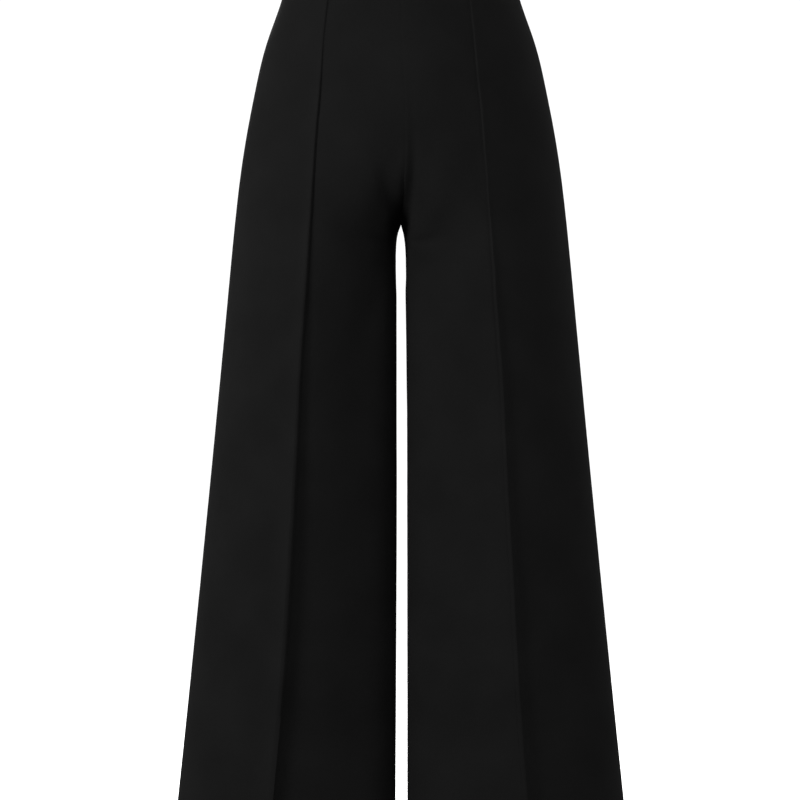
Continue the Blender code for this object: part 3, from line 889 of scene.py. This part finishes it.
band_outer, band_inner, band_path = band_faces()
girth = np.linspace(0, BAND_CUT[1], band_outer.shape[1] + 1)
climb = np.concatenate([[0], np.cumsum(np.linalg.norm(np.diff(np.array(band_path), axis=0), axis=1))])
band_chart = np.stack(np.meshgrid(girth, climb), axis=2)
waistband = closed_cloth("waistband_loop", band_outer, band_inner, band_chart, mirrored=False, ring=True)
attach(waistband, "root")
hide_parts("waistband")


# Stitching: black polyester thread. A lockstitch holds each tuck and the waistband, a blind stitch each hem,
# and an overlock covers the raw edges inside. Real thread is 0.25 mm thick and is drawn thicker, to show.
THREAD = 0.42 * MM
LOCKSTITCH, LOCKSTITCH_PITCH = 2.1 * MM, 2.6 * MM
OVERLOCK, OVERLOCK_PITCH, OVERLOCK_SLANT = 4.2 * MM, 3.0 * MM, math.radians(62)
BLIND_STITCH, BLIND_PITCH, BLIND_SLANT = 3.2 * MM, 8.0 * MM, math.radians(38)
STITCH_SWAY = 0.12
TWIST_LENGTH = 0.6 * MM
THREAD_BLACK = "#0d0d0e"


def polyester_thread():
    """Twisted filament polyester: black as the cloth and a little smoother, with a faint shine along it."""
    material = bpy.data.materials.new("black_polyester_thread")
    material.use_nodes = True
    tree = material.node_tree
    surface = tree.nodes["Principled BSDF"]
    place = add_node(tree, "ShaderNodeTexCoord")
    twist = add_node(
        tree, "ShaderNodeTexNoise", {"Scale": 1 / TWIST_LENGTH, "Detail": 2.0}, {"Vector": (place, "Object")}
    )
    shine = add_node(tree, "ShaderNodeMapRange", {"To Min": 0.52, "To Max": 0.70}, {"Value": (twist, "Fac")})
    ply = add_node(
        tree, "ShaderNodeBump", {"Strength": 0.4, "Distance": 0.05 * MM}, {"Height": (twist, "Fac")}
    )
    surface.inputs["Base Color"].default_value = linear(THREAD_BLACK)
    surface.inputs["Specular IOR Level"].default_value = 0.1
    tree.links.new(shine.outputs["Result"], surface.inputs["Roughness"])
    tree.links.new(ply.outputs["Normal"], surface.inputs["Normal"])
    return material


def stitch_rows():
    """Nodes that lay stitches along paths whose points have the vector "out", away from the cloth."""
    tree = bpy.data.node_groups.new("rows_of_stitches", "GeometryNodeTree")
    inputs = [("Paths", "Geometry"), ("Length", "Float"), ("Pitch", "Float"), ("Thread", "Float")]
    inputs += [("Slant", "Float"), ("Unevenness", "Float"), ("Seed", "Int"), ("Material", "Material")]
    for label, kind in inputs:
        tree.interface.new_socket(label, in_out="INPUT", socket_type=f"NodeSocket{kind}")
    tree.interface.new_socket("Stitches", in_out="OUTPUT", socket_type="NodeSocketGeometry")
    given = add_node(tree, "NodeGroupInput")
    curve = add_node(tree, "GeometryNodeMeshToCurve", links={"Mesh": (given, "Paths")})
    spaced = add_node(
        tree, "GeometryNodeResampleCurve", links={"Curve": (curve, "Curve"), "Length": (given, "Pitch")},
        mode="LENGTH",
    )
    out = add_node(tree, "GeometryNodeInputNamedAttribute", {"Name": "out"}, data_type="FLOAT_VECTOR")
    along = add_node(tree, "GeometryNodeInputTangent")
    upright = add_node(
        tree, "FunctionNodeAlignRotationToVector", links={"Vector": (out, "Attribute")}, axis="Z"
    )
    laid = add_node(
        tree, "FunctionNodeAlignRotationToVector",
        links={"Rotation": (upright, "Rotation"), "Vector": (along, 0)}, axis="X", pivot_axis="Z",
    )
    less = add_node(tree, "ShaderNodeMath", {1: -1.0}, {0: (given, "Unevenness")}, operation="MULTIPLY")
    sway = add_node(
        tree, "FunctionNodeRandomValue",
        links={2: (less, 0), 3: (given, "Unevenness"), "Seed": (given, "Seed")},
    )
    angle = add_node(tree, "ShaderNodeMath", links={0: (given, "Slant"), 1: (sway, 1)}, operation="ADD")
    turn = add_node(
        tree, "FunctionNodeAxisAngleToRotation", {"Axis": (0.0, 0.0, 1.0)}, {"Angle": (angle, 0)}
    )
    turned = add_node(
        tree, "FunctionNodeRotateRotation",
        links={"Rotation": (laid, "Rotation"), "Rotate By": (turn, "Rotation")}, rotation_space="LOCAL",
    )
    size = add_node(
        tree, "ShaderNodeCombineXYZ",
        links={"X": (given, "Length"), "Y": (given, "Thread"), "Z": (given, "Thread")},
    )
    bead = add_node(tree, "GeometryNodeMeshUVSphere", {"Segments": 6, "Rings": 4, "Radius": 0.5})
    stitch = add_node(
        tree, "GeometryNodeTransform", links={"Geometry": (bead, "Mesh"), "Scale": (size, "Vector")}
    )
    parts = {"Points": (spaced, "Curve"), "Instance": (stitch, "Geometry"), "Rotation": (turned, "Rotation")}
    sewn = add_node(tree, "GeometryNodeInstanceOnPoints", links=parts)
    real = add_node(tree, "GeometryNodeRealizeInstances", links={"Geometry": (sewn, "Instances")})
    soft = add_node(tree, "GeometryNodeSetShadeSmooth", links={"Geometry": (real, "Geometry")})
    dyed = add_node(
        tree, "GeometryNodeSetMaterial",
        links={"Geometry": (soft, "Geometry"), "Material": (given, "Material")},
    )
    add_node(tree, "NodeGroupOutput", links={"Stitches": (dyed, "Geometry")})
    return tree


thread = polyester_thread()
stitching = stitch_rows()


def sew(name, paths, length, pitch, slant=0.0, seed=1):
    """Stitches along paths of (points, outward vectors, closed or not), as one mesh."""
    mesh = bpy.data.meshes.new(name)
    points, edges, outwards = [], [], []
    for line, away, closed in paths:
        first = len(points)
        points += [tuple(point) for point in line]
        outwards += [tuple(vector) for vector in away]
        edges += [(first + i, first + i + 1) for i in range(len(line) - 1)]
        if closed:
            edges.append((first + len(line) - 1, first))
    mesh.from_pydata(points, edges, [])
    mesh.attributes.new("out", "FLOAT_VECTOR", "POINT").data.foreach_set("vector", np.array(outwards).ravel())
    path = add_object(f"{name}_path", mesh)
    rows = path.modifiers.new("stitches", "NODES")
    rows.node_group = stitching
    values = {"Length": length, "Pitch": pitch, "Thread": THREAD, "Slant": slant, "Unevenness": STITCH_SWAY}
    values.update({"Seed": seed, "Material": thread})
    for socket in stitching.interface.items_tree:
        if socket.in_out == "INPUT" and socket.name in values:
            rows[socket.identifier] = values[socket.name]
    made = path.evaluated_get(bpy.context.evaluated_depsgraph_get())
    stitches = add_object(name, bpy.data.meshes.new_from_object(made))
    bpy.data.objects.remove(path)
    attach(stitches, "root")


# The tuck's stitches lie in the groove under its fold, from the waist seam to the fold of the hem. How far a
# thread's middle stands over the cloth is a share of its thickness, as it sinks into the knit.
TUCK_THREAD_PROUD, EDGE_THREAD_PROUD, BAND_THREAD_PROUD = 0.05, 0.2, 0.15
TUCK_STITCH_COLUMN = CREASE_COLUMN - 1 - np.argmin(np.abs(NEAR_CREASE - TUCK_SEWN_AT))
for panel, front in fronts.items():
    away = front.form.outwards[:, TUCK_STITCH_COLUMN]
    line = front.face[:, TUCK_STITCH_COLUMN] + away * THREAD * TUCK_THREAD_PROUD
    sew(f"{panel}_tuck_stitches", [stitch_path(front, line, away)], LOCKSTITCH, LOCKSTITCH_PITCH, seed=11)

sew("seam_overlock", seam_edges, OVERLOCK, OVERLOCK_PITCH, OVERLOCK_SLANT, seed=21)

# Inside each hem, the turned-up edge is overlocked, and blind stitches catch it to the cloth of the leg. The
# overlock runs a little in from the edge, by a share of the way to the next row.
HEM_OVERLOCK_IN, BAND_OVERLOCK_IN = 0.42, 0.38
BLIND_STITCH_LEAN, BLIND_STITCH_SUNK = 0.9, 0.3 * MM
hem_edges, hem_catches = [], []
for leg in list(fronts.values()) + list(backs.values()):
    inwards = unit(leg.form.outwards[-1] * np.array([-1.0, -1.0, 0.0]))
    edge, below = leg.turned[-1], leg.turned[-2]
    line = edge + (below - edge) * HEM_OVERLOCK_IN + inwards * THREAD * EDGE_THREAD_PROUD
    hem_edges.append(stitch_path(leg, line, inwards))
    leaning = unit(inwards + np.array([0.0, 0.0, BLIND_STITCH_LEAN]))
    hem_catches.append(stitch_path(leg, edge - inwards * BLIND_STITCH_SUNK, leaning))
sew("hem_overlock", hem_edges, OVERLOCK, OVERLOCK_PITCH, OVERLOCK_SLANT, seed=31)
sew("hem_blind_stitches", hem_catches, BLIND_STITCH, BLIND_PITCH, BLIND_SLANT, seed=32)

# The waistband's inner edge is overlocked and held by a lockstitch sunk into the waist seam from outside.
inwards = unit(band_outer[-1] - band_inner[-1])
edge, above = band_outer[-1], band_outer[-2]
line = in_frame(edge + (above - edge) * BAND_OVERLOCK_IN + inwards * THREAD * EDGE_THREAD_PROUD, False)
sew("waistband_overlock", [(line, inwards, True)], OVERLOCK, OVERLOCK_PITCH, OVERLOCK_SLANT, seed=41)
line = in_frame(above + inwards * THREAD * BAND_THREAD_PROUD, False)
sew("waistband_lockstitch", [(line, inwards, True)], LOCKSTITCH, LOCKSTITCH_PITCH, seed=42)

# Studio: a plain pale floor below the hems, a white surround and five soft lights, the strongest at the
# viewer's left. The surround lights the garment less than the camera sees of it, to keep the cloth black.
FLOOR_CLEARANCE, FLOOR_REACH = 0.06, 9.0
WHITE_PAPER = "#f4f4f4"
PAPER_GLOW = 1.0
SURROUND_LIGHT = 0.17
SEEN_WHITE = 1.1

floor_mesh = bpy.data.meshes.new("floor")
level = cad_box[0].z - FLOOR_CLEARANCE
corners = [(x * FLOOR_REACH, y * FLOOR_REACH, level) for x, y in ((-1, -1), (1, -1), (1, 1), (-1, 1))]
floor_mesh.from_pydata(corners, [], [(0, 1, 2, 3)])
floor = add_object("floor", floor_mesh)
paper = bpy.data.materials.new("white_background_paper")
paper.use_nodes = True
surface = paper.node_tree.nodes["Principled BSDF"]
surface.inputs["Base Color"].default_value = linear(WHITE_PAPER)
surface.inputs["Roughness"].default_value = 0.9
surface.inputs["Emission Color"].default_value = (1.0, 1.0, 1.0, 1.0)
surface.inputs["Emission Strength"].default_value = PAPER_GLOW
floor.visible_diffuse = floor.visible_glossy = False
floor_mesh.materials.append(paper)

surround = bpy.data.worlds.new("white_surround")
surround.use_nodes = True
tree = surround.node_tree
seen = add_node(tree, "ShaderNodeLightPath")
white = add_node(
    tree, "ShaderNodeMix", {"A": SURROUND_LIGHT, "B": SEEN_WHITE}, {"Factor": (seen, "Is Camera Ray")},
    data_type="FLOAT",
)
tree.nodes["Background"].inputs["Color"].default_value = (1.0, 1.0, 1.0, 1.0)
tree.links.new(white.outputs["Result"], tree.nodes["Background"].inputs["Strength"])
bpy.context.scene.world = surround
bpy.context.scene.view_settings.view_transform = "Standard"

LIGHT_DISTANCE = 3.2


def soft_light(name, azimuth, elevation, size, power):
    """A square soft light that looks at the garment's middle. Azimuth 0 is in front, and -90 at the left."""
    lamp = bpy.data.lights.new(name, "AREA")
    lamp.energy, lamp.size = power, size
    middle = (cad_box[0] + cad_box[1]) / 2
    a, e = math.radians(azimuth), math.radians(elevation)
    way = Vector((math.sin(a) * math.cos(e), -math.cos(a) * math.cos(e), math.sin(e)))
    placed = add_object(name, lamp)
    placed.location = middle + way * LIGHT_DISTANCE
    placed.rotation_euler = way.to_track_quat("Z", "Y").to_euler()


soft_light("key_left", azimuth=-47, elevation=18, size=1.2, power=114)
soft_light("side_left", azimuth=-116, elevation=16, size=1.4, power=14)
soft_light("front_fill", azimuth=58, elevation=8, size=2.0, power=48)
soft_light("side_right", azimuth=118, elevation=36, size=1.4, power=17)
soft_light("back_light", azimuth=184, elevation=40, size=1.2, power=85)

# The photograph is 800 pixels square and 1.10 mm to a pixel at the side seams. Its middle is 192.5 mm below
# the crotch and 0.9 mm to the viewer's left of it.
PHOTO_WIDTH = 800 * 1.10 * MM
VIEW_DISTANCE = 3.2
VIEW_DROP = 0.1925
VIEW_OUT = -0.9 * MM
camera_data = bpy.data.cameras.new("camera")
camera_data.lens = camera_data.sensor_width * VIEW_DISTANCE / PHOTO_WIDTH
camera = add_object("camera", camera_data)
camera.location = (VIEW_OUT, -VIEW_DISTANCE, -CROTCH_BELOW_WAIST - VIEW_DROP)
camera.rotation_euler = (math.pi / 2, 0.0, 0.0)
bpy.context.scene.camera = camera

bpy.context.view_layer.update()
